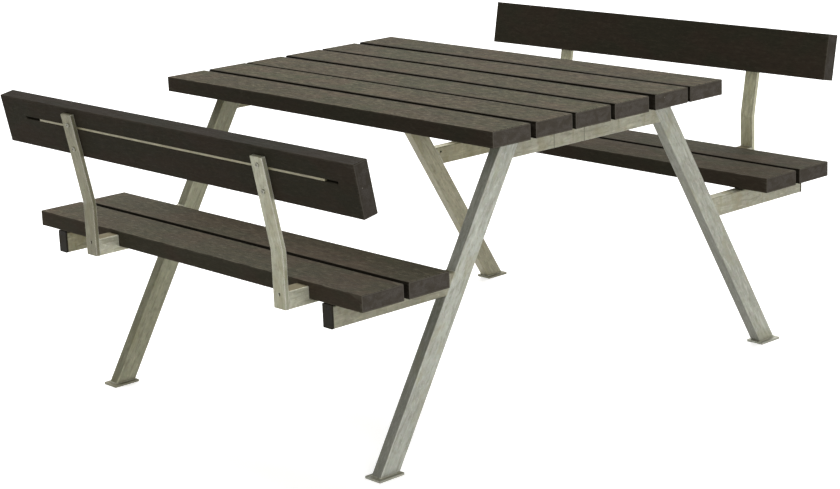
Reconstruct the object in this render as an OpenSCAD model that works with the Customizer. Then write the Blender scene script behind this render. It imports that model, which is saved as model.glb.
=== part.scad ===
// Picnic table with two backed benches: solid boards on two welded tube A-frames.
// X runs along the boards, Y across from bench A (-Y) to bench B (+Y), Z is up and the
// ground is z = 0. The origin is the middle of the whole object on the ground.

/* [Boards] */
// Width of every board
board_w = 117; // [105:1:120]
// Thickness of every board
board_t = 37.5; // [34:0.5:42]
// Rounding of the boards' long edges
board_r = 2; // [1:0.5:8]

/* [Table top] */
// Height of the table top above the ground
table_h = 730; // [700:1:780]
// Length of the table-top boards
table_len = 1180; // [1120:10:1400]
// Gaps between the six table-top boards at their right ends, from bench A to bench B
table_gaps = [15, 9, 12, 20, 7]; // [3:0.5:22]
// The same gaps at the left ends, which add up to as much
table_gaps_left = [15, 5.5, 15.5, 9, 18]; // [3:0.5:22]
// Shift of the table's middle along X from the middle of the whole object
table_x = -40; // [-60:1:60]

/* [Benches] */
// Height of the seats above the ground
seat_h = 459.5; // [430:0.5:480]
// Length of the seat boards
seat_len = 1196; // [1120:2:1400]
// Distance from the table's middle line to a seat's outer edge
seat_outer_y = 790; // [770:1:830]
// Gap between a seat's two boards
seat_gap = 13; // [4:1:20]
// Shift of bench A's seat boards along X from the table's middle
seat_a_x = 13.5; // [-30:0.5:30]
// Shift of bench B's seat boards along X from the table's middle
seat_b_x = -2; // [-30:0.5:30]

/* [Backrests] */
// Length of bench A's backrest board
back_a_len = 1284; // [1100:2:1400]
// Length of bench B's backrest board
back_b_len = 1192; // [1100:2:1400]
// Shift of bench A's backrest along X from the table's middle
back_a_x = 80; // [-100:1:100]
// Shift of bench B's backrest along X from the table's middle
back_b_x = -45; // [-100:1:100]
// Lean of the backrests away from the sitter, in degrees
back_lean = 11; // [6:0.5:16]
// Height of a backrest board's lower rear edge
back_z = 649.5; // [600:0.5:680]
// Fall of bench B's backrest from its right end to its left end
back_b_fall = 6.5; // [-8:0.5:8]
// Height of the routed groove above the board's lower edge
groove_up = 71; // [60:0.5:75]
// Width of the routed groove
groove_w = 6; // [5:0.5:8]
// Depth of the routed groove
groove_d = 26; // [10:1:30]
// Plain board length left outside the groove, averaged over the two ends
groove_margin = 76; // [60:1:100]
// Shift of the groove along its board, towards bench A's right end
groove_shift = 19; // [-30:1:30]
// Thickness of the stiffening strip in the groove
strip_t = 5; // [3:0.5:5]
// Height of the stiffening strip, measured into the board
strip_d = 25; // [8:1:29]
// Length of groove left empty beside the strip, averaged over the two ends
strip_margin = 50; // [20:1:80]
// Shift of the strip along its groove, in the same sense
strip_shift = 8; // [-15:1:15]
// Distance of the strip below the groove's mouth
strip_inset = 0.5; // [0:0.1:1]

/* [Frames] */
// Distance from the table's middle to each frame's middle plane
frame_x = 498.5; // [470:0.5:520]
// Long side of the leg and beam tubes
leg_w = 50; // [40:1:60]
// Short side of the leg and beam tubes
leg_d = 30; // [25:1:34]
// Long side of the seat-arm tubes
arm_h = 50; // [40:1:60]
// Short side of the seat-arm tubes
arm_d = 30; // [25:1:40]
// Wall thickness of every tube
wall = 2.5; // [2:0.1:2.8]
// Outer corner radius of every tube
tube_r = 3; // [2.9:0.1:5]
// Distance of a leg's axis from the middle line at the ground
leg_foot_y = 653; // [600:1:680]
// Distance of a leg's axis from the middle line under the table top
leg_top_y = 244; // [220:1:270]
// Distance from the middle line to the end of a seat-arm tube
arm_end_y = 785; // [760:1:788]
// Distance from the middle line to the beam's first welded seam
seam_near_y = 16; // [5:1:60]
// Distance from the middle line to the beam's second welded seam
seam_far_y = 115; // [80:1:150]
// Size of a foot plate along X
foot_x = 50; // [40:1:80]
// Size of a foot plate along Y
foot_y = 72; // [66:1:100]
// Thickness of a foot plate
foot_t = 5; // [3:0.5:8]
// Corner radius of a foot plate
foot_r = 2; // [1:0.5:6]
// Depth of an end cap's flange beyond its tube
cap_flange = 5; // [2:0.5:5]
// Height of an end cap's flange above its tube
cap_rise = 3; // [0:0.5:3.5]
// Corner radius of an end cap's flange
cap_r = 2; // [1:0.5:4]
// Depth of an end cap's plug inside its tube
cap_plug = 18; // [10:1:30]
// Radius of the vent holes in the seat arms and uprights
vent_r = 3.5; // [2:0.5:5]
// Distance of a seat arm's vent hole from its leg
arm_vent_out = 11; // [6:1:30]
// Distance of a seat arm's vent hole below its top
arm_vent_down = 14; // [10:1:30]

/* [Mounting straps] */
// Thickness of the flat straps between the tubes and the boards
strap_t = 4; // [3:0.5:6]
// Width of the flat straps
strap_w = 62; // [60:1:80]
// Length of the strap under the table top
top_strap_len = 700; // [660:1:740]
// Length of the strap under each seat
seat_strap_len = 220; // [180:1:225]

/* [Backrest supports] */
// Width of the upright flat bars
bar_w = 40; // [36:1:50]
// Thickness of the upright flat bars
bar_t = 10; // [8:0.5:12]
// Distance from the middle line to an upright's inner face
bar_y = 844; // [836:1:860]
// Height of an upright's lower end
bar_z = 410.5; // [405:0.5:413]
// Height at which an upright bends outward
bend_z = 536; // [510:1:560]
// Radius of the bend on an upright's outer face
bend_r = 60; // [40:1:80]
// Heights up the backrest board that bench A's left and right uprights reach
bar_reach = [104, 97]; // [92:1:110]
// Spacing of the two uprights of bench A
bars_a = 697; // [500:1:900]
// Spacing of the two uprights of bench B
bars_b = 672; // [500:1:900]
// Shift of bench A's uprights along X from the table's middle
bars_a_x = 74.5; // [-100:0.5:100]
// Shift of bench B's uprights along X from the table's middle
bars_b_x = -45.5; // [-100:0.5:100]
// Side of the square bracket tube that carries an upright
bracket_w = 40; // [36:1:50]
// Distance from the middle line to a bracket's inner end
bracket_in_y = 585; // [550:1:590]
// Height of the vent hole in an upright
bar_vent_z = 442; // [438:1:444]
// Clearance between a bracket's notch and the seat's outer edge
notch_gap = 0.5; // [0.2:0.1:1]

/* [Screws] */
// Shank radius of every screw
screw_r = 2.5; // [2:0.1:2.8]
// Head radius of every screw
head_r = 5.2; // [4.5:0.1:6]
// Head height of every screw
head_h = 3.2; // [2.5:0.1:4]
// Depth that every screw reaches into its board
bite = 30; // [20:1:31]
// Clearance around a shank in its board
pilot_gap = 0.3; // [0.2:0.1:0.5]
// Radius of the screw holes in the steel parts
steel_hole_r = 3.2; // [3.1:0.1:3.8]
// Heights of an upright's two screws above the backrest's lower edge
back_screws_up = [20, 79]; // [15:1:92]
// Distance of the strap screws from a frame's middle plane
strap_screw_x = 22.5; // [22:0.5:24]

/* [Hidden] */
$fn = 48;
bend_fn = 240;
// How far a cut runs past the face it opens
over = 1;
WOOD = "#4d4842";
STEEL = "#a8aba0";
PLASTIC = "#24221f";
BENCHES = ["a", "b"];
ENDS = ["left", "right"];
BOARDS = [1, 2, 3, 4, 5, 6];
ROWS = ["inner", "outer"];
BEAM_PARTS = ["a", "mid", "b"];

// Table top
top_w = len(BOARDS) * board_w + gap_sum(table_gaps, len(table_gaps));
top_under_z = table_h - board_t;
beam_top_z = top_under_z - strap_t;
beam_bottom_z = beam_top_z - leg_w;

// Seats
seat_under_z = seat_h - board_t;
seat_outer_mid = seat_outer_y - board_w / 2;
seat_inner_mid = seat_outer_mid - board_w - seat_gap;
arm_top_z = seat_under_z - strap_t;
arm_bottom_z = arm_top_z - arm_h;

// Legs: the slope of the axis and the half width measured level
leg_rise = (leg_foot_y - leg_top_y) / top_under_z;
leg_angle = atan(leg_rise);
leg_level_half = leg_w / 2 / cos(leg_angle);
leg_run = top_under_z / cos(leg_angle);

// Uprights: the bend's arc starts turn_up below the height where the inner face's lines meet
turn_r = bend_r + bar_t;
turn_up = turn_r * tan(back_lean / 2);
turn_z = bend_z - turn_up;

// Backrests: the lower rear edge lies on the uprights' leaning inner face
back_y = bar_y + (back_z - bend_z) * tan(back_lean);

// The table-top boards aren't quite parallel, so each one's middle line has a small slope
function gap_sum(gaps, i) = i == 0 ? 0 : gaps[i - 1] + gap_sum(gaps, i - 1);
function board_end_y(i, gaps) = -top_w / 2 + board_w * (i - 0.5) + gap_sum(gaps, i - 1);
function board_slope(i) = (board_end_y(i, table_gaps) - board_end_y(i, table_gaps_left)) / table_len;
function board_y(i, x) = board_end_y(i, table_gaps) + board_slope(i) * (x - table_len / 2);

function seat_row_y(row) = row == "outer" ? seat_outer_mid : seat_inner_mid;
function seat_x(bench) = bench == "a" ? seat_a_x : seat_b_x;
function back_x(bench) = bench == "a" ? back_a_x : back_b_x;
function back_len(bench) = bench == "a" ? back_a_len : back_b_len;
function back_fall(bench) = bench == "a" ? 0 : back_b_fall;
function end_sign(end) = end == "left" ? -1 : 1;
function strap_screw_y(end, i, sd) =
    end_sign(end) * board_y(i, end_sign(end) * (frame_x + sd * strap_screw_x));
function bar_x(bench, end) = bench == "a"
    ? bars_a_x + end_sign(end) * bars_a / 2
    : bars_b_x + end_sign(end) * bars_b / 2;
// Bench B's uprights are bench A's turned round
function bar_lean_len(bench, end) =
    (back_z - bend_z) / cos(back_lean) + bar_reach[(bench == "a") == (end == "left") ? 0 : 1];

// Places what is drawn about the table's middle line
module placed() {
    translate([table_x, 0, 0])
        children();
}

// Bench parts are drawn on bench B's side and mirrored for bench A
module on_bench(bench) {
    mirror([0, bench == "a" ? 1 : 0, 0])
        children();
}

// Frame parts are drawn on the right frame, and the left frame is the same one turned round
module on_frame(end) {
    rotate([0, 0, end == "left" ? 180 : 0])
        translate([frame_x, 0, 0])
            children();
}

// The turned left frame meets the other bench, so its benches swap names
function frame_bench(end, bench) = end == "right" ? bench : (bench == "a" ? "b" : "a");

module rounded_square(w, h, r) {
    square([w - 2 * r, h], center = true);
    square([w, h - 2 * r], center = true);
    for (sx = [-1, 1], sy = [-1, 1])
        translate([sx * (w / 2 - r), sy * (h / 2 - r)])
            circle(r);
}

// Hollow tube standing on z = 0, w along X and d along Y
module tube(w, d, len) {
    linear_extrude(len)
        difference() {
            rounded_square(w, d, tube_r);
            rounded_square(w - 2 * wall, d - 2 * wall, tube_r - wall);
        }
}

// Board lying along X, its underside at z = 0 and its middle at y = 0
module board(len) {
    translate([-len / 2, 0, board_t / 2])
        rotate([90, 0, 90])
            linear_extrude(len)
                rounded_square(board_w, board_t, board_r);
}

module pilot(x, y) {
    translate([x, y, -over])
        cylinder(r = screw_r + pilot_gap, h = bite + 2 * over);
}

// Screw driven up along +Z through a steel part of the given thickness whose lower face is z = 0
module screw(steel) {
    cylinder(r = screw_r, h = steel + bite);
    difference() {
        intersection() {
            translate([0, 0, -head_h])
                cylinder(r = head_r, h = head_h);
            translate([0, 0, 2 * head_r - head_h])
                sphere(2 * head_r);
        }
        translate([0, 0, -head_h - over])
            cylinder(r = screw_r, h = over + head_h / 2, $fn = 6);
    }
}

// ---- Boards ----

module top_board(i) {
    color(WOOD)
        difference() {
            translate([0, board_y(i, 0), top_under_z])
                rotate([0, 0, atan(board_slope(i))])
                    board(table_len);
            for (end = ENDS, sd = [-1, 1])
                on_frame(end)
                    translate([0, 0, top_under_z])
                        pilot(sd * strap_screw_x, strap_screw_y(end, i, sd));
        }
}

module seat_board(bench, row) {
    color(WOOD)
        on_bench(bench)
            translate([seat_x(bench), seat_row_y(row), seat_under_z])
                difference() {
                    board(seat_len);
                    for (sx = [-1, 1], sd = [-1, 1])
                        pilot(sx * frame_x + sd * strap_screw_x - seat_x(bench), 0);
                    for (end = ENDS)
                        pilot(bar_x(bench, end) - seat_x(bench), 0);
                }
}

// Both backrests are the same board: bench B's is bench A's turned round
function back_turn(bench) = bench == "a" ? 1 : -1;

// A backrest stands on its lower rear edge and leans outward. Local y = 0 is its rear face,
// with the sitter on the -y side, and local z runs up the board.
module on_back(bench) {
    on_bench(bench)
        translate([back_x(bench), back_y, back_z])
            rotate([-back_lean, 0, 0])
                translate([0, 0, -back_fall(bench) / 2])
                    rotate([0, -atan(back_fall(bench) / back_len(bench)), 0])
                        children();
}

module back_board(bench) {
    groove_len = back_len(bench) - 2 * groove_margin;
    groove_x = back_turn(bench) * groove_shift - groove_len / 2;
    color(WOOD)
        on_back(bench)
            difference() {
                translate([0, 0, board_w / 2])
                    rotate([90, 0, 0])
                        board(back_len(bench));
                translate([groove_x, -groove_d, groove_up - groove_w / 2])
                    cube([groove_len, groove_d + over, groove_w]);
                for (end = ENDS, up = back_screws_up)
                    translate([bar_x(bench, end) - back_x(bench), 0, up])
                        rotate([90, 0, 0])
                            pilot(0, 0);
            }
}

// Stiffening strip on edge in the groove, almost flush with the groove's mouth
module back_strip(bench) {
    strip_len = back_len(bench) - 2 * (groove_margin + strip_margin);
    strip_x = back_turn(bench) * (groove_shift + strip_shift) - strip_len / 2;
    color(STEEL)
        on_back(bench)
            translate([strip_x, -strip_d - strip_inset, groove_up - strip_t / 2])
                cube([strip_len, strip_d, strip_t]);
}

// ---- Frames ----

// Sloping solid with the leg's direction, reaching from the leg's axis by y0 to y1 level
module leg_slab(y0, y1) {
    translate([0, leg_foot_y, 0])
        rotate([leg_angle, 0, 0])
            translate([-leg_w, y0 * cos(leg_angle), -leg_w])
                cube([2 * leg_w, (y1 - y0) * cos(leg_angle), leg_run + 2 * leg_w]);
}

module leg(end, bench) {
    color(STEEL)
        on_frame(end)
            on_bench(frame_bench(end, bench))
                intersection() {
                    translate([0, leg_foot_y, 0])
                        rotate([leg_angle, 0, 0])
                            translate([0, 0, -leg_w])
                                tube(leg_d, leg_w, leg_run + 2 * leg_w);
                    translate([-leg_w, 0, foot_t])
                        cube([2 * leg_w, leg_foot_y + 2 * leg_w, beam_top_z - foot_t]);
                }
}

// The beam is three lengths of tube welded end to end between the legs
module beam(end, part) {
    side = part == "mid" ? part : frame_bench(end, part);
    ends = side == "a" ? [-leg_foot_y, -seam_far_y]
        : side == "mid" ? [-seam_far_y, -seam_near_y]
        : [-seam_near_y, leg_foot_y];
    color(STEEL)
        on_frame(end)
            difference() {
                translate([0, ends[0], beam_bottom_z + leg_w / 2])
                    rotate([-90, 0, 0])
                        tube(leg_d, leg_w, ends[1] - ends[0]);
                for (bench = BENCHES)
                    on_bench(bench)
                        leg_slab(-leg_level_half, 2 * leg_foot_y);
            }
}

module top_strap(end) {
    color(STEEL)
        on_frame(end)
            difference() {
                translate([-strap_w / 2, -top_strap_len / 2, beam_top_z])
                    cube([strap_w, top_strap_len, strap_t]);
                for (i = BOARDS, sd = [-1, 1])
                    translate([sd * strap_screw_x, strap_screw_y(end, i, sd), beam_top_z - over])
                        cylinder(r = steel_hole_r, h = strap_t + 2 * over);
            }
}

module seat_arm(end, bench) {
    color(STEEL)
        on_frame(end)
            on_bench(frame_bench(end, bench))
                difference() {
                    translate([0, 0, arm_bottom_z + arm_h / 2])
                        rotate([-90, 0, 0])
                            tube(arm_d, arm_h, arm_end_y);
                    leg_slab(-2 * leg_foot_y, leg_level_half);
                    arm_vent();
                }
}

// Vent hole through the wall of a seat arm that faces the middle of the table
module arm_vent() {
    vent_z = arm_top_z - arm_vent_down;
    vent_y = leg_foot_y - leg_rise * vent_z + leg_level_half + arm_vent_out;
    translate([-arm_d / 2 - over, vent_y, vent_z])
        rotate([0, 90, 0])
            cylinder(r = vent_r, h = wall + 2 * over);
}

module seat_strap(end, bench) {
    middle = (seat_inner_mid + seat_outer_mid) / 2;
    color(STEEL)
        on_frame(end)
            on_bench(frame_bench(end, bench))
                difference() {
                    translate([-strap_w / 2, middle - seat_strap_len / 2, arm_top_z])
                        cube([strap_w, seat_strap_len, strap_t]);
                    for (row = ROWS, sd = [-1, 1])
                        translate([sd * strap_screw_x, seat_row_y(row), arm_top_z - over])
                            cylinder(r = steel_hole_r, h = strap_t + 2 * over);
                }
}

module end_cap(end, bench) {
    inset = 2 * (wall + pilot_gap);
    color(PLASTIC)
        on_frame(end)
            on_bench(frame_bench(end, bench))
                translate([0, arm_end_y, arm_bottom_z + arm_h / 2])
                    rotate([-90, 0, 0]) {
                        translate([0, -cap_rise / 2, 0])
                            linear_extrude(cap_flange)
                                rounded_square(arm_d, arm_h + cap_rise, cap_r);
                        translate([0, 0, -cap_plug])
                            linear_extrude(cap_plug + cap_flange)
                                rounded_square(arm_d - inset, arm_h - inset, tube_r - wall);
                    }
}

module foot(end, bench) {
    color(STEEL)
        on_frame(end)
            on_bench(frame_bench(end, bench))
                translate([0, leg_foot_y, 0])
                    linear_extrude(foot_t)
                        rounded_square(foot_x, foot_y, foot_r);
}

// ---- Backrest supports ----

// Side outline of an upright: y outward from the middle line, z up from the ground. lean_len is
// the length of its leaning part up to its top.
module upright_outline(lean_len) {
    translate([bar_y, bar_z])
        square([bar_t, turn_z - bar_z]);
    translate([bar_y + turn_r, turn_z])
        intersection() {
            difference() {
                circle(turn_r, $fn = bend_fn);
                circle(bend_r, $fn = bend_fn);
            }
            polygon([[0, 0], [-2 * turn_r, 0], [-2 * turn_r, 2 * turn_r * tan(back_lean)]]);
        }
    translate([bar_y, bend_z])
        rotate(-back_lean)
            translate([0, turn_up])
                square([bar_t, lean_len - turn_up]);
}

// Flat bar bent outward to the backrest's lean
module back_upright(bench, end) {
    color(STEEL)
        difference() {
            on_bench(bench)
                translate([bar_x(bench, end) - bar_w / 2, 0, 0])
                    rotate([90, 0, 90])
                        linear_extrude(bar_w)
                            upright_outline(bar_lean_len(bench, end));
            on_bench(bench)
                translate([bar_x(bench, end), bar_y - over, bar_vent_z])
                    rotate([-90, 0, 0])
                        cylinder(r = vent_r, h = bar_t + 2 * over);
            on_back(bench)
                for (up = back_screws_up)
                    translate([bar_x(bench, end) - back_x(bench), -over, up])
                        rotate([-90, 0, 0])
                            cylinder(r = steel_hole_r, h = bar_t + 2 * over);
        }
}

// Square tube under the seat, cut down to a shallow channel where the boards lie on it
module back_bracket(bench, end) {
    color(STEEL)
        on_bench(bench)
            translate([bar_x(bench, end), 0, bar_z])
                difference() {
                    translate([0, bracket_in_y, bracket_w / 2])
                        rotate([-90, 0, 0])
                            tube(bracket_w, bracket_w, bar_y - bracket_in_y);
                    translate([-bracket_w, bracket_in_y - over, seat_under_z - bar_z])
                        cube([2 * bracket_w, seat_outer_y + notch_gap - bracket_in_y + over, bracket_w]);
                    for (row = ROWS)
                        translate([0, seat_row_y(row), -over])
                            cylinder(r = steel_hole_r, h = wall + 2 * over);
                }
}

// ---- Screws ----

module top_screws(end) {
    color(STEEL)
        on_frame(end)
            for (i = BOARDS, sd = [-1, 1])
                translate([sd * strap_screw_x, strap_screw_y(end, i, sd), beam_top_z])
                    screw(strap_t);
}

module seat_screws(bench) {
    color(STEEL)
        on_bench(bench)
            for (sx = [-1, 1], sd = [-1, 1], row = ROWS)
                translate([sx * frame_x + sd * strap_screw_x, seat_row_y(row), arm_top_z])
                    screw(strap_t);
}

module bracket_screws(bench) {
    color(STEEL)
        on_bench(bench)
            for (end = ENDS, row = ROWS)
                translate([bar_x(bench, end), seat_row_y(row), bar_z])
                    screw(seat_under_z - bar_z);
}

module back_screws(bench) {
    color(STEEL)
        on_back(bench)
            for (end = ENDS, up = back_screws_up)
                translate([bar_x(bench, end) - back_x(bench), bar_t, up])
                    rotate([90, 0, 0])
                        screw(bar_t);
}

// ---- Assembly ----

placed() {
    for (i = BOARDS)
        top_board(i);
    for (b = BENCHES, r = ROWS)
        seat_board(b, r);
    for (b = BENCHES)
        back_board(b);
    for (b = BENCHES)
        back_strip(b);
    for (e = ENDS, b = BENCHES)
        leg(e, b);
    for (e = ENDS, p = BEAM_PARTS)
        beam(e, p);
    for (e = ENDS)
        top_strap(e);
    for (e = ENDS, b = BENCHES)
        seat_arm(e, b);
    for (e = ENDS, b = BENCHES)
        seat_strap(e, b);
    for (e = ENDS, b = BENCHES)
        end_cap(e, b);
    for (e = ENDS, b = BENCHES)
        foot(e, b);
    for (b = BENCHES, e = ENDS)
        back_upright(b, e);
    for (b = BENCHES, e = ENDS)
        back_bracket(b, e);
    for (e = ENDS)
        top_screws(e);
    for (b = BENCHES)
        seat_screws(b);
    for (b = BENCHES)
        bracket_screws(b);
    for (b = BENCHES)
        back_screws(b);
}
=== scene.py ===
"""Looks of the picnic table: grained composite boards on galvanised, welded A-frames."""

import math
import random

import bpy
from mathutils import Matrix, Vector, noise


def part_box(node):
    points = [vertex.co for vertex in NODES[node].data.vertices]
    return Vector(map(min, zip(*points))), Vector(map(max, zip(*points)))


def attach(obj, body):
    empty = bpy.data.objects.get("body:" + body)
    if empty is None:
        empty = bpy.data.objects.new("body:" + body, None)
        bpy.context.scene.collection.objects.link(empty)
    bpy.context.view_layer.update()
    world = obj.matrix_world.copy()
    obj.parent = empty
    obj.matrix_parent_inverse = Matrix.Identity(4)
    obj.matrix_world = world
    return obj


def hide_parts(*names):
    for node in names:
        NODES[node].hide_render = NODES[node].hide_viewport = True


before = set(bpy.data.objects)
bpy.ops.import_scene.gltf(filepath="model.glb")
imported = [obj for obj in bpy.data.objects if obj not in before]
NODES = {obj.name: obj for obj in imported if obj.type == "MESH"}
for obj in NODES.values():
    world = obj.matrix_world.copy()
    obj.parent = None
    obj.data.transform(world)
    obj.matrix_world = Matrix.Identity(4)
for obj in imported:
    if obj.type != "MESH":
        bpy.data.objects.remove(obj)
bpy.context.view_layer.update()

MM = 0.001
X, Y, Z = Vector((1, 0, 0)), Vector((0, 1, 0)), Vector((0, 0, 1))
BENCHES = {"a": -1, "b": 1}
ENDS = ("left", "right")

# Sizes that the CAD's boxes alone don't give
BOARD_W, BOARD_T = 117 * MM, 37.5 * MM
EDGE_R = 2 * MM
TABLE_BOARDS = 6
TABLE_LEN = 1180 * MM
TABLE_TURN = {3: 3.5 * MM, 5: 11 * MM}  # how much further to +Y a board's right end lies
BACK_LEN = {"a": 1284 * MM, "b": 1192 * MM}
BACK_FALL = {"a": 0.0, "b": 6.5 * MM}  # how much lower a backrest's right end lies
BACK_LEAN = math.radians(11)
GROOVE_V = 12.5 * MM  # a groove's middle above its board's
GROOVE_W = 6 * MM
GROOVE_DEPTH = 26 * MM
GROOVE_MARGIN = 76 * MM  # from each of the board's ends, before the shift
GROOVE_SHIFT = 19 * MM
LEG_FOOT_Y, LEG_TOP_Y, LEG_TOP_Z = 653 * MM, 244 * MM, 692.5 * MM
LEG_RISE = (LEG_FOOT_Y - LEG_TOP_Y) / LEG_TOP_Z
LEG_LEAN = math.atan(LEG_RISE)
LEG_W, LEG_D = 50 * MM, 30 * MM
LEG_HALF = LEG_W / 2 / math.cos(LEG_LEAN)  # level, from the leg's middle line to its face

# How far the edges of the CAD's plates, bars and caps are eased
PLATE_EASE, BAR_EASE, CAP_EASE = 0.7 * MM, 0.9 * MM, 1.2 * MM
EASE_ANGLE = math.radians(40)

# How a visual board's mesh is made
STATION_STEP = 35 * MM
STATION_ROOM = 6 * MM  # no station is nearer than this to a groove's end
END_EASE, END_ANGLES = 1.1 * MM, (0, 30, 60, 90)
END_RINGS = (1 * MM, 3 * MM, 7 * MM)
CORNER_POINTS, CORNER_STEP = 6, 18  # on a rounded edge, and the degrees between them
BROAD_STEPS, SIDE_STEPS = 10, 3
MOUTH_ROOM = 0.02  # of the broad face's width, kept free on each side of a groove's mouth
WAVE_HEIGHT, WAVE_EASE = 0.16 * MM, 30 * MM
WAVE_ALONG, WAVE_ACROSS = 7, 30
DEEP_EDGE = 10 * MM  # the edge attribute in a groove, too far from an edge to look worn
GRAIN_SPREAD = 40  # how far apart the boards may lie in the grain's noise
UNSHADED_SEAM = 9.0  # the seam attribute away from a gap, outside the painted shade; it is 0 at the edge and 1 where the band ends

# How light each board is: its broad faces' tone, with painted shade on the seats and backrests; painted
# shade on its sides, its ends and beside a gap; and how plain a painted shaded look makes a face
GAP_TONE = 0.30
TOP_TONE = {1: 0.91, 2: 0.97, 3: 0.95, 4: 0.95, 5: 0.93, 6: 0.90}
TOP_SIDE, TOP_END = 0.62, 1.0
SEAT_TONE, SEAT_SIDE, SEAT_END = {"a": 0.86, "b": 0.83}, {"a": 0.82, "b": 0.76}, {"a": 0.97, "b": 0.90}
# painted shade that darkens each seat's broad faces from its left end to its right
SEAT_FADE = {"a": 0.34, "b": 0.14}
BACK_TONE, BACK_SIDE, BACK_END = {"a": 0.48, "b": 0.55}, 0.68, 0.72
SIDE_PLAIN, SEAT_PLAIN, BACK_PLAIN = 0.75, 0.35, 0.72

# How wide the bands of painted shade beside the gaps are; a table gap is named by the lower of its boards
TOP_BAND = {1: 6.5 * MM, 2: 6.0 * MM, 3: 8.5 * MM, 4: 7.0 * MM, 5: 10.0 * MM}
SEAT_BAND = {"a": 2.5 * MM, "b": 5.0 * MM}

TOP_SEED, SEAT_SEED, BACK_SEED, WELD_SEED = 10, 30, 50, 100
STITCH_SEED = 50  # beyond the seed of the welds beside it

# The welds' beads: their radii, then how fine and how even they are, with lengths in steps along them
BEAD_R, BRACKET_BEAD_R, STITCH_BEAD_R, SEAM_BEAD_R = 2.1 * MM, 1.9 * MM, 2.0 * MM, 1.1 * MM
BEAD_STEP, BEAD_SIDES, BEAD_BEND = 0.9 * MM, 8, 2.5 * MM
RIPPLE, RIPPLE_LENGTH = 0.20, 3.0
UNEVEN, UNEVEN_SCALE, UNEVEN_SPREAD = 0.12, 0.21, 50
TAPER_FROM, TAPER_STEP = 0.45, 0.2

# How far the beads lie from the edges of what they join
FOOT_LIFT, FOOT_INSET = 0.4 * MM, 0.6 * MM
FLUSH_INSET = 1.7 * MM
HIGH_INSET, BEAM_LOW, ARM_LOW, BRACKET_LOW = 1 * MM, 1.5 * MM, 1 * MM, 2 * MM
BRACKET_INSET = 0.6 * MM
SEAM_INSET = 0.3 * MM
STITCH_DROP, STITCH_INSET = 1.2 * MM, 0.4 * MM
SEAT_STITCHES, SEAT_STITCH_HALF = (-78 * MM, 0, 78 * MM), 14 * MM  # from the strap's middle
TOP_STITCHES, TOP_STITCH_HALF = (-185 * MM, -62 * MM, 62 * MM, 185 * MM), 15 * MM

FLOOR_HALF, FLOOR_DROP = 60.0, 0.2 * MM
WORLD_COLOUR = (1.0, 0.98, 0.94, 1.0)
CAMERA_PLACE = (3.70699, -3.44170, 1.62125)
CAMERA_YAW, CAMERA_PITCH, CAMERA_ROLL = 2.4094, -0.2525, -0.0420
LENS, SENSOR, CLIP_END = 89.70, 36.0, 200.0


# ---------------------------------------------------------------- node helpers

def tinted(colour, tint):
    return tuple(c * t for c, t in zip(colour, tint))


class Graph:
    """A material's node tree, built from the left to the right."""

    def __init__(self, name):
        self.material = bpy.data.materials.new(name)
        self.material.use_nodes = True
        self.tree = self.material.node_tree
        self.tree.nodes.clear()

    def add(self, kind, props=None, **inputs):
        node = self.tree.nodes.new(kind)
        for key, value in (props or {}).items():
            setattr(node, key, value)
        for key, value in inputs.items():
            self.put(node.inputs[key.replace("_", " ")], value)
        return node

    def put(self, socket, value):
        if isinstance(value, bpy.types.NodeSocket):
            self.tree.links.new(value, socket)
        elif value is not None:
            socket.default_value = value

    def attribute(self, name, output="Fac"):
        return self.add("ShaderNodeAttribute", {"attribute_name": name}).outputs[output]

    def math(self, operation, a, b=None, clamp=False):
        node = self.add("ShaderNodeMath", {"operation": operation, "use_clamp": clamp})
        self.put(node.inputs[0], a)
        self.put(node.inputs[1], b)
        return node.outputs[0]

    def vector(self, operation, a, b, output="Vector"):
        node = self.add("ShaderNodeVectorMath", {"operation": operation})
        self.put(node.inputs[0], a)
        self.put(node.inputs[1], b)
        return node.outputs[output]

    def noise(self, vector, scales, detail=4.0, rough=0.55, warp=0.0):
        node = self.add("ShaderNodeTexNoise", Vector=self.vector("MULTIPLY", vector, scales),
                        Scale=1.0, Detail=detail, Roughness=rough, Distortion=warp)
        return node.outputs["Fac"]

    def ramp(self, value, low, high, out_low=0.0, out_high=1.0):
        node = self.add("ShaderNodeMapRange", {"interpolation_type": "SMOOTHSTEP"},
                        Value=value, From_Min=low, From_Max=high, To_Min=out_low, To_Max=out_high)
        return node.outputs["Result"]

    def mix(self, factor, a, b, blend="MIX"):
        node = self.add("ShaderNodeMix", {"data_type": "RGBA", "blend_type": blend}, Factor=factor)
        for socket, value in ((node.inputs[6], a), (node.inputs[7], b)):
            self.put(socket, (*value, 1.0) if isinstance(value, tuple) else value)
        return node.outputs[2]

    def layers(self, base, rows, tint=(1.0, 1.0, 1.0)):
        """Lays tinted colours over base. A row is (value, where the colour starts, where it is full,
        how much of it there is then, colour)."""
        for value, start, full, most, colour in rows:
            base = self.mix(self.ramp(value, start, full, 0.0, most), base, tinted(colour, tint))
        return base

    def bump(self, height, distance, strength=1.0, normal=None):
        return self.add("ShaderNodeBump", Height=height, Distance=distance, Strength=strength,
                        Normal=normal).outputs["Normal"]

    def finish(self, base, roughness, normal, metallic=0.0, specular=0.5, glow=0.0):
        shader = self.add("ShaderNodeBsdfPrincipled", Base_Color=base, Roughness=roughness,
                          Normal=normal, Metallic=metallic, Specular_IOR_Level=specular,
                          Emission_Color=(1.0, 1.0, 1.0, 1.0), Emission_Strength=glow)
        out = self.add("ShaderNodeOutputMaterial")
        self.tree.links.new(shader.outputs["BSDF"], out.inputs["Surface"])
        return self.material


# ---------------------------------------------------------------- materials

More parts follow.
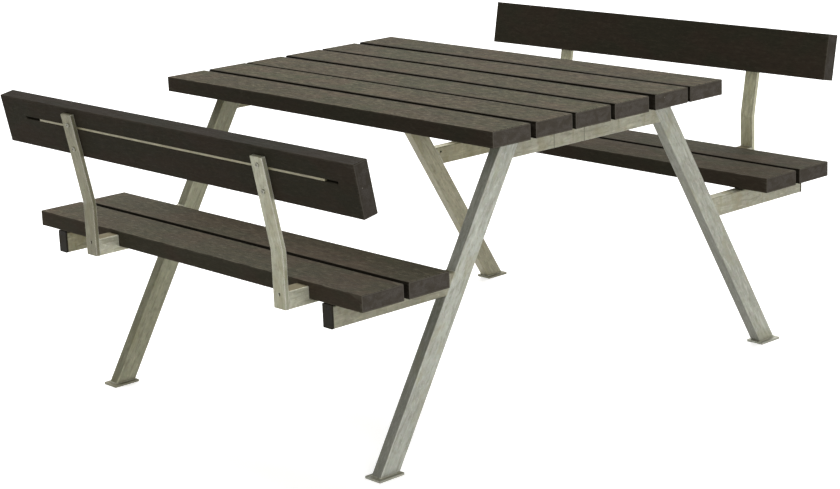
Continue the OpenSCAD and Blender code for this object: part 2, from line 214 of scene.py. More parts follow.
def board_material():
    """Dark brown-grey recycled composite with a fine wood-like grain, and smoother sawn ends."""
    g = Graph("composite_board")
    grain = g.attribute("grain", "Vector")
    tone, cut, edge = g.attribute("tone"), g.attribute("cut"), g.attribute("edge")
    plain, seam = g.attribute("plain"), g.attribute("seam")

    patches = g.noise(grain, (3.2, 7, 7), detail=3, warp=0.6)
    hue = g.noise(grain, (5, 9, 9), detail=3, warp=0.5)
    clouds = g.noise(grain, (19, 17, 17), detail=3, warp=0.5)
    mottle = g.noise(grain, (38, 85, 85), detail=4, rough=0.6, warp=0.3)
    streaks = g.noise(grain, (20, 210, 210), detail=4, rough=0.6, warp=0.3)
    chips = g.noise(grain, (50, 130, 130), detail=3, rough=0.55, warp=0.2)
    flecks = g.noise(grain, (75, 520, 520), detail=3, rough=0.6)
    pores = g.noise(grain, (520, 900, 900), detail=3, rough=0.65)

    # the weathered faces: a brown and an olive tone under paler and darker marks, from coarse to fine
    base = g.mix(g.ramp(hue, 0.42, 0.58), (0.081, 0.058, 0.038), (0.055, 0.058, 0.032))
    base = g.layers(base, (
        (clouds, 0.52, 0.64, 0.65, (0.086, 0.066, 0.044)),
        (clouds, 0.48, 0.37, 0.65, (0.052, 0.054, 0.029)),
        (patches, 0.40, 0.60, 0.60, (0.054, 0.046, 0.028)),
        (mottle, 0.52, 0.66, 0.55, (0.108, 0.091, 0.058)),
        (mottle, 0.48, 0.34, 0.50, (0.032, 0.027, 0.015)),
        (streaks, 0.52, 0.66, 0.75, (0.104, 0.088, 0.054)),
        (streaks, 0.48, 0.35, 0.75, (0.031, 0.026, 0.015)),
        (chips, 0.56, 0.66, 0.70, (0.135, 0.116, 0.078)),
        (chips, 0.44, 0.35, 0.55, (0.030, 0.025, 0.014)),
        (flecks, 0.56, 0.72, 0.75, (0.150, 0.132, 0.092)),
        (flecks, 0.45, 0.32, 0.65, (0.026, 0.021, 0.012)),
        (pores, 0.58, 0.74, 0.30, (0.120, 0.105, 0.072)),
    ))

    # a plainer, more neutral colour painted on the faces in shade, set by the plain attribute
    smooth = g.mix(g.ramp(hue, 0.40, 0.60), (0.072, 0.057, 0.043), (0.063, 0.058, 0.042))
    base = g.mix(plain, base, smooth)

    # the sawn ends, with a few pale specks, a dull rim and a pale arris
    blotch = g.noise(grain, (60, 42, 60), detail=4, warp=0.5)
    grit = g.noise(grain, (420, 420, 420), detail=3, rough=0.65)
    sawn = g.mix(g.ramp(blotch, 0.36, 0.64), (0.068, 0.059, 0.047), (0.095, 0.085, 0.075))
    sawn = g.layers(sawn, ((grit, 0.42, 0.62, 0.45, (0.050, 0.044, 0.038)),))
    speck = g.add("ShaderNodeTexVoronoi", Vector=g.vector("MULTIPLY", grain, (170, 170, 170)), Scale=1.0)
    rare = g.math("GREATER_THAN", speck.outputs["Color"], 0.94)
    near = g.ramp(speck.outputs["Distance"], 0.30, 0.14, 0.0, 0.8)
    sawn = g.mix(g.math("MULTIPLY", rare, near), sawn, (0.26, 0.24, 0.21))
    sawn = g.layers(sawn, (
        (edge, 0.0075, 0.002, 0.40, (0.058, 0.050, 0.038)),
        (edge, 0.0028, 0.0010, 0.50, (0.130, 0.120, 0.105)),
    ))
    base = g.mix(cut, base, sawn)

    # worn edges, painted shade in bands beside the gaps, and how light the face is, with painted shade
    # from the tone attribute
    wear = g.math("MULTIPLY", g.ramp(edge, 0.0042, 0.0006), g.ramp(streaks, 0.36, 0.62), clamp=True)
    wear = g.math("MULTIPLY", wear, g.ramp(cut, 0.4, 0.6, 0.55, 0.0))
    base = g.mix(wear, base, (0.150, 0.134, 0.104))
    base = g.layers(base, ((seam, 1.0, 0.3, 0.85, (0.020, 0.016, 0.009)),))
    grey = g.add("ShaderNodeCombineColor", Red=tone, Green=tone, Blue=tone).outputs[0]
    base = g.mix(1.0, base, grey, "MULTIPLY")

    rough = g.math("ADD", g.ramp(streaks, 0.3, 0.7, 0.60, 0.74), g.ramp(pores, 0.4, 0.7, -0.04, 0.08))
    along = g.math("SUBTRACT", 1.0, cut)
    height = g.math("ADD", g.math("MULTIPLY", streaks, 0.6), g.math("MULTIPLY", flecks, 0.4))
    normal = g.bump(g.math("MULTIPLY", height, along), 0.0016, 0.6)
    normal = g.bump(g.math("ADD", pores, g.math("MULTIPLY", grit, cut)), 0.0005, 0.4, normal)
    return g.finish(base, rough, normal, specular=0.03)


def steel_material(name, turn, tint, edge_highlight=0.0, highlight_side=(1.0, 0.0, 0.0), grime_and_shade=0.0, drips=0.0,
                   flank=0.0, flank_side=None):
    """Hot-dip galvanised steel, dull and mottled. turn puts the part's length on the texture's z.
    The edge highlight setting paints a highlight on the edges that look to its side, the up-face setting
    paints shade, with some soiling, on the faces that look up, drips run down a level tube, flank paints
    shade on the faces that look along y, or those that look to flank_side, and tint lightens or darkens
    the whole part: painted light and shade on most parts."""
    g = Graph(name)
    place = g.add("ShaderNodeTexCoord").outputs["Object"]
    local = g.add("ShaderNodeMapping", {"vector_type": "TEXTURE"},
                  Vector=place, Rotation=turn).outputs["Vector"]

    clouds = g.noise(local, (11, 11, 8), detail=4, rough=0.6)
    mottle = g.noise(local, (120, 120, 75), detail=5, rough=0.65, warp=0.3)
    runs = g.noise(local, (140, 140, 20), detail=4, rough=0.6, warp=0.4)
    bloom = g.noise(local, (520, 520, 400), detail=3, rough=0.7)
    stain = g.noise(local, (24, 24, 9), detail=4, warp=0.9)
    spangle = g.add("ShaderNodeTexVoronoi", Vector=g.vector("MULTIPLY", local, (150, 150, 120)),
                    Scale=1.0).outputs["Color"]

    # the zinc: two greys under paler and darker marks
    base = g.mix(g.ramp(clouds, 0.36, 0.62),
                 tinted((0.285, 0.288, 0.255), tint), tinted((0.375, 0.382, 0.345), tint))
    base = g.layers(base, (
        (mottle, 0.52, 0.66, 0.55, (0.225, 0.220, 0.180)),
        (mottle, 0.46, 0.32, 0.50, (0.470, 0.480, 0.440)),
        (runs, 0.53, 0.66, 0.55, (0.190, 0.186, 0.148)),
        (runs, 0.45, 0.32, 0.50, (0.530, 0.540, 0.490)),
        (stain, 0.51, 0.66, 0.50, (0.270, 0.262, 0.180)),
    ), tint)
    if drips:
        trail = g.noise(place, (30, 42, 11), detail=4, warp=0.7)
        base = g.layers(base, ((trail, 0.46, 0.66, drips, (0.220, 0.198, 0.118)),), tint)
    base = g.layers(base, ((bloom, 0.54, 0.72, 0.35, (0.540, 0.550, 0.510)),), tint)
    base = g.mix(0.03, base, spangle, "SOFT_LIGHT")

    # painted shade on the flanks, hatched, and darker toward the ground
    if flank:
        facing = g.add("ShaderNodeNewGeometry").outputs["Normal"]
        level = g.vector("DOT_PRODUCT", facing, flank_side or (0.0, 1.0, 0.0), "Value")
        level = level if flank_side else g.math("ABSOLUTE", level)
        height = g.add("ShaderNodeSeparateXYZ", Vector=place).outputs["Z"]
        hatch = g.noise(local, (420, 420, 90), detail=3, rough=0.7)
        dull = g.ramp(level, 0.5, 0.8, 0.0, flank)
        dull = g.math("MULTIPLY", dull, g.ramp(hatch, 0.35, 0.60, 0.75, 1.25))
        dull = g.math("MULTIPLY", dull, g.ramp(height, 0.15, 0.60, 1.1, 0.55), clamp=True)
        base = g.mix(dull, base, tinted((0.150, 0.150, 0.128), tint))

    # edges: a painted highlight on those that look to the highlight side, or else a little darker
    rim = g.add("ShaderNodeBevel", {"samples": 4}, Radius=0.0035 if edge_highlight else 0.0022).outputs["Normal"]
    flat = g.add("ShaderNodeNewGeometry").outputs["Normal"]
    edge = g.ramp(g.vector("DOT_PRODUCT", rim, flat, "Value"), 0.995, 0.90, 0.0, edge_highlight or 0.28)
    if edge_highlight:
        highlight_facing = g.ramp(g.vector("DOT_PRODUCT", rim, highlight_side, "Value"), 0.10, 0.45)
        edge = g.math("MULTIPLY", edge, highlight_facing)
    base = g.mix(edge, base, (0.66, 0.65, 0.60) if edge_highlight else tinted((0.175, 0.170, 0.135), tint))
    metallic = 0.45

    rough = g.math("ADD", g.ramp(clouds, 0.3, 0.7, 0.40, 0.52), g.ramp(bloom, 0.35, 0.7, -0.05, 0.08))
    # painted shade on the faces that look up, with some soiling: darker, browner, rougher and less
    # metallic
    if grime_and_shade:
        up = g.ramp(g.vector("DOT_PRODUCT", flat, (0.0, 0.0, 1.0), "Value"), 0.8, 0.95, 0.0, grime_and_shade)
        base = g.mix(up, base, (0.126, 0.104, 0.052))
        rough = g.math("ADD", rough, g.math("MULTIPLY", up, 0.5), clamp=True)
        metallic = g.math("MULTIPLY", g.math("SUBTRACT", 1.0, up), metallic)
    normal = g.bump(mottle, 0.0009, 0.30)
    normal = g.bump(bloom, 0.0004, 0.30, normal)
    return g.finish(base, rough, normal, metallic=metallic)


def plastic_material():
    """Matt black moulded plastic, a little dusty."""
    g = Graph("cap_plastic")
    place = g.add("ShaderNodeTexCoord").outputs["Object"]
    skin = g.noise(place, (1400, 1400, 1400), detail=2)
    dust = g.noise(place, (60, 60, 60), detail=4)
    base = g.mix(g.ramp(dust, 0.4, 0.7), (0.014, 0.012, 0.008), (0.030, 0.026, 0.017))
    rough = g.ramp(dust, 0.35, 0.7, 0.55, 0.7)
    return g.finish(base, rough, g.bump(skin, 0.0003, 0.3), specular=0.1)


def screw_material():
    """Dull zinc-plated screw heads with a little grime."""
    g = Graph("screw_zinc")
    place = g.add("ShaderNodeTexCoord").outputs["Object"]
    grime_and_shade = g.noise(place, (500, 500, 500), detail=4)
    fine = g.noise(place, (2600, 2600, 2600), detail=2)
    base = g.mix(g.ramp(grime_and_shade, 0.42, 0.68), (0.34, 0.34, 0.29), (0.24, 0.23, 0.18))
    rough = g.ramp(grime_and_shade, 0.35, 0.7, 0.52, 0.7)
    return g.finish(base, rough, g.bump(fine, 0.0002, 0.35), metallic=0.6)


def floor_material():
    g = Graph("studio_floor")
    place = g.add("ShaderNodeTexCoord").outputs["Object"]
    base = g.mix(g.noise(place, (1.4, 1.4, 1.4), detail=2), (0.93, 0.93, 0.93), (0.95, 0.95, 0.95))
    return g.finish(base, 0.9, None, specular=0.1, glow=0.5)


BOARD = board_material()
ALONG_Z = (0, 0, 0)
ALONG_Y = (math.pi / 2, 0, 0)
ALONG_X = (0, math.pi / 2, 0)
# Each upright's tint paints light or shade on it, so the four are lit and shaded copies of one zinc; all
# get painted edge highlights, and the rear ones painted shade on the faces that look to +X+Y
REAR_UPRIGHT = {"tint": (1.56, 1.51, 1.18), "edge_highlight": 0.4, "flank": 1.0, "flank_side": (0.71, 0.71, 0.0)}
UPRIGHT_LOOKS = {
    ("a", "left"): {"tint": (0.49, 0.46, 0.33), "edge_highlight": 0.55},
    ("a", "right"): {"tint": (0.92, 0.90, 0.75), "edge_highlight": 0.85},
    ("b", "left"): REAR_UPRIGHT,
    ("b", "right"): REAR_UPRIGHT,
}
STEEL_UPRIGHT = {(bench, end): steel_material(f"galvanised_upright_{bench}_{end}", ALONG_Z, **look)
                 for (bench, end), look in UPRIGHT_LOOKS.items()}
# the brackets' tint is painted light, with painted highlights on their upper edges and painted shade,
# with some soiling, on their tops
STEEL_BRACKET = steel_material("galvanised_bracket", ALONG_Y, (1.34, 1.31, 1.15), edge_highlight=0.4,
                               highlight_side=(0.5, 0.0, 0.86), grime_and_shade=0.95)
# these tints paint light and shade: the near arm, the left frame, the left feet and the strip are painted
# darker, the right feet lighter
STEEL_Y = steel_material("galvanised_level", ALONG_Y, (0.83, 0.80, 0.68), drips=0.45)
STEEL_Y_NEAR = steel_material("galvanised_level_near", ALONG_Y, (0.69, 0.66, 0.54), drips=0.35)
STEEL_Y_LEFT = steel_material("galvanised_level_left", ALONG_Y, (0.71, 0.66, 0.47), drips=0.45)
STEEL_FOOT = {
    "left": steel_material("galvanised_foot_left", ALONG_Y, (0.60, 0.58, 0.46), grime_and_shade=0.45),
    "right": steel_material("galvanised_foot_right", ALONG_Y, (1.0, 1.0, 0.95), grime_and_shade=0.2),
}
STEEL_X = steel_material("galvanised_strip", ALONG_X, (0.66, 0.60, 0.43))
# the legs' tints paint light and shade, the left legs darker, and flank paints shade on the right legs'
# narrow faces
LEG_LOOKS = {
    ("right", "a"): {"tint": (1.02, 1.03, 1.0), "flank": 0.46},
    ("right", "b"): {"tint": (0.86, 0.86, 0.81), "flank": 0.60},
    ("left", "a"): {"tint": (0.69, 0.67, 0.51)},
    ("left", "b"): {"tint": (0.72, 0.67, 0.51)},
}
STEEL_LEG = {(end, bench): steel_material(f"galvanised_leg_{end}_{bench}",
                                          (BENCHES[bench] * LEG_LEAN, 0, 0), **look)
             for (end, bench), look in LEG_LOOKS.items()}
STEEL_WELD = steel_material("galvanised_weld", ALONG_Z, (1.02, 1.0, 0.9))
STEEL_SEAM = steel_material("galvanised_seam", ALONG_Z, (0.45, 0.44, 0.36))
PLASTIC = plastic_material()
ZINC = screw_material()


def paint(node_name, material):
    node = NODES[node_name]
    node.data.materials.clear()
    node.data.materials.append(material)


def ease(node_name, width, segments=2):
    """Eases a CAD node's sharp edges with modifiers, its own mesh unchanged."""
    node = NODES[node_name]
    weld = node.modifiers.new("weld", "WELD")
    weld.merge_threshold = 1e-5
    bevel = node.modifiers.new("ease", "BEVEL")
    bevel.width = width
    bevel.segments = segments
    bevel.limit_method = "ANGLE"
    bevel.angle_limit = EASE_ANGLE
    bevel.harden_normals = True


for node_name in NODES:
    parts = node_name.split("_")
    if node_name.startswith("leg_"):
        paint(node_name, STEEL_LEG[parts[1], parts[2]])
    elif node_name.startswith("back_upright"):
        paint(node_name, STEEL_UPRIGHT[parts[2], parts[3]])
        ease(node_name, BAR_EASE)
    elif node_name.startswith("back_bracket"):
        paint(node_name, STEEL_BRACKET)
    elif node_name.startswith("back_strip"):
        paint(node_name, STEEL_X)
    elif node_name.startswith("end_cap"):
        paint(node_name, PLASTIC)
        ease(node_name, CAP_EASE, segments=3)
    elif "_screws_" in node_name:
        paint(node_name, ZINC)
    elif node_name.startswith("foot"):
        paint(node_name, STEEL_FOOT[parts[1]])
        ease(node_name, PLATE_EASE)
    elif "board" not in node_name:
        # a beam, a seat arm or a strap; the boards' nodes are replaced below
        # the left frame and the near seat arm get their darker tints: painted shade
        near = node_name == "seat_arm_right_a"
        paint(node_name, STEEL_Y_LEFT if "_left" in node_name else STEEL_Y_NEAR if near else STEEL_Y)
        if "strap" in node_name:
            ease(node_name, PLATE_EASE)


# ---------------------------------------------------------------- meshes

def make_object(name, verts, faces, material, normals=None, attributes=None):
    """A smooth mesh object that rides on the frame; normals holds one vector for each face corner."""
    mesh = bpy.data.meshes.new(name)
    mesh.from_pydata([tuple(v) for v in verts], [], faces)
    for key, (kind, domain, values) in (attributes or {}).items():
        layer = mesh.attributes.new(key, kind, domain)
        layer.data.foreach_set("vector" if kind == "FLOAT_VECTOR" else "value", values)
    mesh.polygons.foreach_set("use_smooth", [True] * len(mesh.polygons))
    mesh.materials.append(material)
    mesh.validate()
    if normals is not None:
        mesh.normals_split_custom_set(normals)
    obj = bpy.data.objects.new(name, mesh)
    bpy.context.scene.collection.objects.link(obj)
    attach(obj, "root")
    return obj


def section_ring(inset, groove):
    """A board's section, anticlockwise. A point is (v, w, normal v, normal w, distance to an edge, and
    whether it is on the groove's mouth), with v across the board's width and w through its thickness."""
    hv, hw = BOARD_W / 2 - EDGE_R, BOARD_T / 2 - EDGE_R
    r = EDGE_R - inset
    ring = []

    def flat(v0, w0, v1, w1, nv, nw, steps, stops=()):
        span = math.hypot(v1 - v0, w1 - w0)
        even = [k / steps for k in range(1, steps)]
        if stops:
            # nothing but the groove crosses its mouth
            even = [t for t in even if not stops[0] - MOUTH_ROOM < t < stops[-1] + MOUTH_ROOM]
        for t in sorted([*even, *stops]):
            near = min(t, 1 - t) * span + EDGE_R
            ring.append((v0 + (v1 - v0) * t, w0 + (w1 - w0) * t, nv, nw, near, t in stops))

    def corner(cv, cw, start):
        for k in range(CORNER_POINTS):
            a = math.radians(start + k * CORNER_STEP)
            nv, nw = math.cos(a), math.sin(a)
            near = abs(k - (CORNER_POINTS - 1) / 2) * EDGE_R * math.radians(CORNER_STEP)
            ring.append((cv + r * nv, cw + r * nw, nv, nw, near, False))

    stops = ()
    if groove:
        stops = tuple((hv - v) / (2 * hv) for v in (GROOVE_V + GROOVE_W / 2, GROOVE_V - GROOVE_W / 2))
    top, side = hw + r, hv + r
    corner(hv, hw, 0)
    flat(hv, top, -hv, top, 0, 1, BROAD_STEPS, stops)
    corner(-hv, hw, 90)
    flat(-side, hw, -side, -hw, -1, 0, SIDE_STEPS)
    corner(-hv, -hw, 180)
    flat(-hv, -top, hv, -top, 0, -1, BROAD_STEPS)
    corner(hv, -hw, 270)
    flat(side, -hw, side, hw, 1, 0, SIDE_STEPS)
    return ring


def board_stations(length, groove_ends):
    """Places along a board: (distance from its first end, inset, how far its normal leans to the end)."""
    eased = [(END_EASE * (1 - math.cos(a)), END_EASE * (1 - math.sin(a)), math.cos(a))
             for a in (math.radians(d) for d in END_ANGLES)]
    steps = round(length / STATION_STEP)
    middle = [END_EASE + (length - 2 * END_EASE) * k / steps for k in range(1, steps)]
    middle = [m for m in middle if all(abs(m - g) > STATION_ROOM for g in groove_ends)]
    return [*eased, *((m, 0.0, 0.0) for m in sorted([*middle, *groove_ends])),
            *((length - d, i, -c) for d, i, c in reversed(eased))]


def make_board(node, length, along, across, out, tone, side_tone, end_tone, seed, gaps, plain=0.0,
               groove=False, fade=0.0):
    """A board in a CAD node's place, with eased ends, a faintly wavy skin and, if it has one, a routed
    groove in its out face. gaps gives, for a sign of across on which another board lies close by, the
    width of its band of painted shade. fade is how much darker painted shade makes the broad faces from
    the first end to the other. side_tone and end_tone paint shade or light on the sides and ends."""
    lo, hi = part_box(node)
    centre = (lo + hi) / 2
    rng = random.Random(seed)
    shift = Vector([rng.uniform(0, GRAIN_SPREAD) for _ in range(3)])
    groove_ends = [GROOVE_MARGIN + GROOVE_SHIFT, length - GROOVE_MARGIN + GROOVE_SHIFT] if groove else []
    stations = board_stations(length, groove_ends)

    verts, corner_n, grain, edge, seam = [], [], [], [], []

    def point(u, v, w, normal, near, gap_shade=UNSHADED_SEAM):
        verts.append(centre + along * u + across * v + out * w)
        corner_n.append(normal)
        grain.append(Vector((u, v, w)) + shift)
        edge.append(near)
        seam.append(gap_shade)
        return len(verts) - 1

    rings = []
    for dist, inset, lean in stations:
        ring = []
        u, end_near = dist - length / 2, min(dist, length - dist)
        flatness = math.sqrt(max(0.0, 1 - lean * lean))
        for v, w, nv, nw, near, _ in section_ring(inset, groove):
            dip = 0.0
            if abs(lean) < 0.01:  # not on an end's eased edge
                wave = noise.noise(Vector((u * WAVE_ALONG, v * WAVE_ACROSS, w * WAVE_ACROSS)) + shift)
                dip = WAVE_HEIGHT * (1 + wave) * min(1.0, end_near / WAVE_EASE)
            normal = (along * -lean + across * (nv * flatness) + out * (nw * flatness)).normalized()
            # the seam attribute: how far a point lies into the band of painted shade beside a gap
            band = gaps.get(1 if v > 0 else -1)
            ring.append(point(u, v - nv * dip, w - nw * dip, normal, min(near, max(0.0, end_near)),
                              near / band if band else UNSHADED_SEAM))
        rings.append(ring)

    template = section_ring(0.0, groove)
    count = len(template)
    marks = [k for k in range(count) if template[k][5]]
    faces, normals, cut, shade, even = [], [], [], [], []

    def face(points, flat_n=None, sawn=0.0, dark=1.0, smooth=plain):
        faces.append(points)
        cut.append(sawn)
        shade.append(tone * dark)
        even.append(smooth)
        for p in points:
            normals.append(tuple(corner_n[p] if flat_n is None else flat_n))

    # the groove's floor: two points at each station that the groove reaches
    deep = {}
    for s, (dist, _, _) in enumerate(stations):
        if groove and groove_ends[0] - 1e-6 <= dist <= groove_ends[1] + 1e-6:
            u, w = dist - length / 2, BOARD_T / 2 - GROOVE_DEPTH
            deep[s] = [point(u, template[k][0], w, out, DEEP_EDGE) for k in marks]

    for s in range(len(stations) - 1):
        here, there = rings[s], rings[s + 1]
        grooved = s in deep and s + 1 in deep
        # painted shade: the broad faces darken from the first end to the other by fade
        broad = 1 - fade * (stations[s][0] / length - 0.5)
        for k in range(count):
            n = (k + 1) % count
            if grooved and k == marks[0]:
                (b0, c0), (b1, c1) = deep[s], deep[s + 1]
                face([here[k], b0, b1, there[k]], -across)
                face([b0, c0, c1, b1], out)
                face([c0, here[n], there[n], c1], across)
            else:
                turned = template[k][2] + template[n][2]
                if abs(turned) > 1.5:  # one of the two narrow sides
                    # painted shade on the narrow sides, deeper on a side that faces a gap, with the
                    # plainer shaded look
                    dark = GAP_TONE if math.copysign(1, turned) in gaps else side_tone
                    face([here[k], here[n], there[n], there[k]], dark=dark, smooth=max(plain, SIDE_PLAIN))
                else:
                    face([here[k], here[n], there[n], there[k]], dark=broad)
    if groove:
        first, last = min(deep), max(deep)
        face([rings[first][marks[0]], rings[first][marks[1]], deep[first][1], deep[first][0]], along)
        face([rings[last][marks[0]], deep[last][0], deep[last][1], rings[last][marks[1]]], -along)

    # each end is closed by nested rings, so that its edge attribute fades inward
    # the end faces take end_tone in place of the board's tone: painted light and shade on the sawn ends
    for ring, outward in ((list(reversed(rings[0])), -along), (rings[-1], along)):
        rim = ring
        for depth in END_RINGS:
            inner = []
            for p in ring:
                rel = verts[p] - centre
                v = rel.dot(across) * (1 - 2 * depth / BOARD_W)
                w = rel.dot(out) * (1 - 2 * depth / BOARD_T)
                inner.append(point(rel.dot(along), v, w, outward, depth))
            for k in range(count):
                n = (k + 1) % count
                face([rim[k], rim[n], inner[n], inner[k]], outward, 1.0, end_tone / tone)
            rim = inner
        face(list(rim), outward, 1.0, end_tone / tone)

    attributes = {
        "grain": ("FLOAT_VECTOR", "POINT", [c for g in grain for c in g]),
        "edge": ("FLOAT", "POINT", edge),
        "seam": ("FLOAT", "POINT", seam),
        "plain": ("FLOAT", "FACE", even),
        "cut": ("FLOAT", "FACE", cut),
        "tone": ("FLOAT", "FACE", shade),
    }
    board = make_object("look_" + node, verts, faces, BOARD, normals, attributes)
    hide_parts(node)


for i in range(1, TABLE_BOARDS + 1):
    turn = math.atan(TABLE_TURN.get(i, 0.0) / TABLE_LEN)
    along = Vector((math.cos(turn), math.sin(turn), 0))
    gaps = {sign: TOP_BAND[min(i, i + sign)] for sign in (-1, 1) if 1 <= i + sign <= TABLE_BOARDS}
    make_board(f"top_board_{i}", TABLE_LEN, along, Z.cross(along), Z, TOP_TONE[i], TOP_SIDE, TOP_END,
               TOP_SEED + i, gaps)

seat_seed = SEAT_SEED
for bench, side in BENCHES.items():
    for row, gap_side in (("inner", side), ("outer", -side)):
        node_name = f"seat_board_{bench}_{row}"
        lo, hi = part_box(node_name)
        make_board(node_name, hi.x - lo.x, X, Y, Z, SEAT_TONE[bench], SEAT_SIDE[bench], SEAT_END[bench],
                   seat_seed, {gap_side: SEAT_BAND[bench]}, SEAT_PLAIN, fade=SEAT_FADE[bench])
        seat_seed += 1

for bench, side in BENCHES.items():
    fall = math.atan(BACK_FALL[bench] / BACK_LEN[bench])
    rear = Vector((0, side * math.cos(BACK_LEAN), -math.sin(BACK_LEAN)))
    upright = Vector((0, side * math.sin(BACK_LEAN), math.cos(BACK_LEAN)))
    up = upright * math.cos(fall) - X * math.sin(fall)
    make_board(f"back_board_{bench}", BACK_LEN[bench], up.cross(rear), up, rear, BACK_TONE[bench],
               BACK_SIDE, BACK_END, BACK_SEED + side, {}, BACK_PLAIN, groove=True)


# ---------------------------------------------------------------- welds

def rounded_path(points, radius, closed):
    """The path with its corners rounded."""
    count = len(points)
    path = []
    for k, here in enumerate(points):
        if not closed and k in (0, count - 1):
            path.append(here)
            continue
        before, after = points[k - 1], points[(k + 1) % count]
        a = here + (before - here).normalized() * radius
        b = here + (after - here).normalized() * radius
        path += [a.lerp(here, t).lerp(here.lerp(b, t), t) for t in (0, 0.33, 0.67, 1)]
    return path


def resampled(path, step, closed):
    """Points at even steps along a path."""
    line = path + path[:1] if closed else path
    reach = [0.0]
    for a, b in zip(line, line[1:]):
        reach.append(reach[-1] + (b - a).length)
    count = max(4, round(reach[-1] / step))
    points, k = [], 0
    for n in range(count if closed else count + 1):
        goal = reach[-1] * n / count
        while k < len(reach) - 2 and reach[k + 1] < goal:
            k += 1
        span = max(reach[k + 1] - reach[k], 1e-9)
        points.append(line[k].lerp(line[k + 1], min(1.0, (goal - reach[k]) / span)))
    return points


def add_bead(verts, faces, corners, radius, offset, closed):
    """Adds a rippled bead along a path, its ends tapered and closed."""
    points = resampled(rounded_path(corners, BEAD_BEND, closed), BEAD_STEP, closed)
    first, count = len(verts), len(points)
    side = None
    for n, p in enumerate(points):
        ahead = points[(n + 1) % count] if closed or n < count - 1 else p
        behind = points[n - 1] if closed or n > 0 else p
        tangent = (ahead - behind).normalized()
        if side is None:
            side = tangent.orthogonal().normalized()
        side = (side - tangent * side.dot(tangent)).normalized()
        other = tangent.cross(side)
        ripple = 1 - RIPPLE + RIPPLE * abs(math.sin(math.pi * n / RIPPLE_LENGTH))
        r = radius * (ripple + UNEVEN * noise.noise(Vector((n * UNEVEN_SCALE + offset, 0, 0))))
        if not closed:
            r *= min(1.0, TAPER_FROM + TAPER_STEP * min(n, count - 1 - n))
        for k in range(BEAD_SIDES):
            a = 2 * math.pi * k / BEAD_SIDES
            verts.append(p + side * (r * math.cos(a)) + other * (r * math.sin(a)))
    for n in range(count if closed else count - 1):
        here, there = first + n * BEAD_SIDES, first + (n + 1) % count * BEAD_SIDES
        for k in range(BEAD_SIDES):
            j = (k + 1) % BEAD_SIDES
            faces.append([here + k, here + j, there + j, there + k])
    if not closed:
        faces.append([first + k for k in reversed(range(BEAD_SIDES))])
        faces.append([first + (count - 1) * BEAD_SIDES + k for k in range(BEAD_SIDES)])


def make_weld(name, paths, radius, seed, closed=False, material=STEEL_WELD):
    """One weld, made of a bead along each path."""
    rng = random.Random(seed)
    verts, faces = [], []
    for path in paths:
        add_bead(verts, faces, path, radius, rng.uniform(0, UNEVEN_SPREAD), closed)
    weld = make_object(name, verts, faces, material)


def leg_y(side, z, out):
    """Y of a leg's face at height z. out is 1 for the face away from the table's middle, -1 for the
    other, and side is the bench's sign of Y."""
    return side * (LEG_FOOT_Y - LEG_RISE * z + out * LEG_HALF)


def stitches(x, middles, half, z):
    """Short straight weld paths along Y on both sides of a tube that is centred on x."""
    reach = LEG_D / 2 - STITCH_INSET
    return [[Vector((x + sx * reach, y - half, z)), Vector((x + sx * reach, y + half, z))]
            for sx in (-1, 1) for y in middles]


seed = WELD_SEED
for end in ENDS:
    x = (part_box(f"leg_{end}_a")[0].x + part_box(f"leg_{end}_a")[1].x) / 2
    half = LEG_D / 2 - FOOT_INSET
    flush = LEG_D / 2 - FLUSH_INSET
    for bench, side in BENCHES.items():
        # leg to foot plate
        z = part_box(f"foot_{end}_{bench}")[1].z + FOOT_LIFT
        loop = [Vector((x + sx * half, leg_y(side, z, out), z))
                for sx, out in ((-1, -1), (1, -1), (1, 1), (-1, 1))]
        make_weld(f"weld_foot_{end}_{bench}", [loop], BEAD_R, seed, closed=True)
        # leg to beam, left open at the top under the strap
        lo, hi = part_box(f"beam_{end}_{bench}")
        high, low = hi.z - HIGH_INSET, lo.z + BEAM_LOW
        line = [Vector((x + sx * flush, leg_y(side, z, -1), z))
                for sx, z in ((-1, high), (-1, low), (1, low), (1, high))]
        make_weld(f"weld_beam_{end}_{bench}", [line], BEAD_R, seed + 1)
        # leg to seat arm
        lo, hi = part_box(f"seat_arm_{end}_{bench}")
        high, low = hi.z - HIGH_INSET, lo.z + ARM_LOW
        loop = [Vector((x + sx * flush, leg_y(side, z, 1), z))
                for sx, z in ((-1, low), (1, low), (1, high), (-1, high))]
        make_weld(f"weld_arm_{end}_{bench}", [loop], BEAD_R, seed + 2, closed=True)
        # upright to bracket
        lo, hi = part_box(f"back_bracket_{bench}_{end}")
        y = max(abs(lo.y), abs(hi.y)) * side
        left, right, low = lo.x + BRACKET_INSET, hi.x - BRACKET_INSET, lo.z + BRACKET_LOW
        line = [Vector((bx, y, z)) for bx, z in ((left, low), (left, hi.z), (right, hi.z), (right, low))]
        make_weld(f"weld_bracket_{bench}_{end}", [line], BRACKET_BEAD_R, seed + 3)
        seed += 4
        # short stitches between the seat strap and its arm
        lo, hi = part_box(f"seat_strap_{end}_{bench}")
        middles = [(lo.y + hi.y) / 2 + dy for dy in SEAT_STITCHES]
        paths = stitches(x, middles, SEAT_STITCH_HALF, lo.z - STITCH_DROP)
        make_weld(f"weld_seat_strap_{end}_{bench}", paths, STITCH_BEAD_R, seed + STITCH_SEED)
    # and between the top strap and the beam
    lo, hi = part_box(f"top_strap_{end}")
    paths = stitches(x, TOP_STITCHES, TOP_STITCH_HALF, lo.z - STITCH_DROP)
    make_weld(f"weld_top_strap_{end}", paths, STITCH_BEAD_R, seed + STITCH_SEED + 1)
    # the beam's two butt seams, ground nearly flush
    lo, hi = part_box(f"beam_{end}_mid")
    reach, high, low = half + SEAM_INSET, hi.z - HIGH_INSET, lo.z + SEAM_INSET
    for n, y in enumerate((lo.y, hi.y)):
        line = [Vector((x + sx * reach, y, z)) for sx, z in ((-1, high), (-1, low), (1, low), (1, high))]
        make_weld(f"weld_seam_{end}_{n + 1}", [line], SEAM_BEAD_R, seed + n, material=STEEL_SEAM)
    seed += 2


# ---------------------------------------------------------------- studio

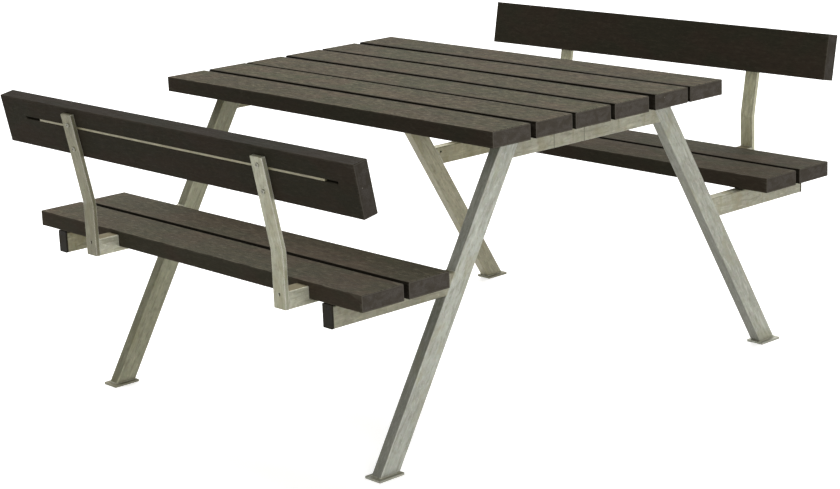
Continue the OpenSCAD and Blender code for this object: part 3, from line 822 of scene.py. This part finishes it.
def make_floor():
    corners = [(sx * FLOOR_HALF, sy * FLOOR_HALF, 0) for sx, sy in ((-1, -1), (1, -1), (1, 1), (-1, 1))]
    mesh = bpy.data.meshes.new("studio_floor")
    mesh.from_pydata(corners, [], [(0, 1, 2, 3)])
    mesh.materials.append(floor_material())
    floor = bpy.data.objects.new("studio_floor", mesh)
    floor.location.z = -FLOOR_DROP
    bpy.context.scene.collection.objects.link(floor)
    floor.visible_diffuse = False


def make_sun(name, toward, strength, spread):
    """A broad soft light from the direction toward, spread degrees across."""
    data = bpy.data.lights.new(name, "SUN")
    data.energy = strength
    data.angle = math.radians(spread)
    lamp = bpy.data.objects.new(name, data)
    lamp.rotation_euler = (-Vector(toward)).to_track_quat("-Z", "Y").to_euler()
    bpy.context.scene.collection.objects.link(lamp)


def make_world(strength):
    world = bpy.data.worlds.new("studio")
    world.use_nodes = True
    background = world.node_tree.nodes["Background"]
    background.inputs["Color"].default_value = WORLD_COLOUR
    background.inputs["Strength"].default_value = strength
    bpy.context.scene.world = world


def make_camera():
    flat = math.cos(CAMERA_PITCH)
    ahead = Vector((flat * math.cos(CAMERA_YAW), flat * math.sin(CAMERA_YAW), math.sin(CAMERA_PITCH)))
    level = ahead.cross(Z).normalized()
    upright = level.cross(ahead)
    right = level * math.cos(CAMERA_ROLL) + upright * math.sin(CAMERA_ROLL)
    up = upright * math.cos(CAMERA_ROLL) - level * math.sin(CAMERA_ROLL)
    data = bpy.data.cameras.new("camera")
    data.lens = LENS
    data.sensor_width = SENSOR
    data.clip_end = CLIP_END
    camera = bpy.data.objects.new("camera", data)
    rows = zip(right, up, -ahead, CAMERA_PLACE)
    camera.matrix_world = Matrix((*rows, (0, 0, 0, 1)))
    bpy.context.scene.collection.objects.link(camera)
    bpy.context.scene.camera = camera


make_floor()
make_world(strength=0.44)
make_sun("key", toward=(-0.60, 0.75, 1.10), strength=3.45, spread=55)
make_sun("end_fill", toward=(1.0, -0.30, 0.42), strength=1.55, spread=50)
make_camera()
bpy.context.scene.view_settings.view_transform = "Standard"
